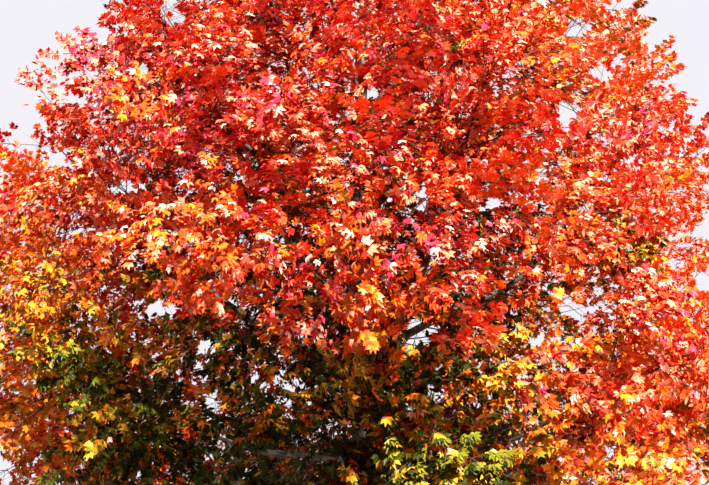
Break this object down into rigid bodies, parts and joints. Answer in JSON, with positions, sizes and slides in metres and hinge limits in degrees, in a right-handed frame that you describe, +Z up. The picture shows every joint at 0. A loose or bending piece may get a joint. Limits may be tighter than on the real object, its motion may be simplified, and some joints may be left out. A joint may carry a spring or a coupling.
{
  "type": "sugar maple tree",
  "caption": "Broadleaf tree in autumn colour: a trunk with a leader, boughs in tiers and masses of lobed leaves in sprays, rooted in the ground.",
  "frame": {"origin": "centre of the flat cut under the trunk, at ground level", "axes": "+Z up along the trunk, the side that the picture shows faces -Y, +X to its right"},
  "size_m": [13.6261, 13.5704, 16.2321],
  "materials": {
    "bark": "rough ridged bark",
    "leaf_crimson": "matte leaf",
    "leaf_scarlet": "matte leaf",
    "leaf_orange": "matte leaf",
    "leaf_gold": "matte leaf"
  },
  "bodies": {
    "root": {"trunk": "bark", "bough_low_1": "bark", "bough_low_2": "bark", "bough_low_3": "bark", "bough_low_4": "bark", "bough_low_5": "bark", "bough_low_6": "bark", "bough_low_7": "bark", "bough_mid_1": "bark", "bough_mid_2": "bark", "bough_mid_3": "bark", "bough_mid_4": "bark", "bough_mid_5": "bark", "bough_mid_6": "bark", "bough_mid_7": "bark", "bough_high_1": "bark", "bough_high_2": "bark", "bough_high_3": "bark", "bough_high_4": "bark", "bough_high_5": "bark", "bough_high_6": "bark", "bough_top_1": "bark", "bough_top_2": "bark", "bough_top_3": "bark", "bough_top_4": "bark", "foliage_low_1": "leaf_orange", "foliage_low_2": "leaf_gold", "foliage_low_3": "leaf_orange", "foliage_low_4": "leaf_orange", "foliage_low_5": "leaf_orange", "foliage_low_6": "leaf_gold", "foliage_low_7": "leaf_orange", "foliage_mid_1": "leaf_orange", "foliage_mid_2": "leaf_orange", "foliage_mid_3": "leaf_scarlet", "foliage_mid_4": "leaf_scarlet", "foliage_mid_5": "leaf_orange", "foliage_mid_6": "leaf_orange", "foliage_mid_7": "leaf_scarlet", "foliage_high_1": "leaf_scarlet", "foliage_high_2": "leaf_scarlet", "foliage_high_3": "leaf_crimson", "foliage_high_4": "leaf_scarlet", "foliage_high_5": "leaf_crimson", "foliage_high_6": "leaf_scarlet", "foliage_top_1": "leaf_scarlet", "foliage_top_2": "leaf_crimson", "foliage_top_3": "leaf_crimson", "foliage_top_4": "leaf_crimson", "foliage_crest": "leaf_crimson"}
  },
  "joints": []
}
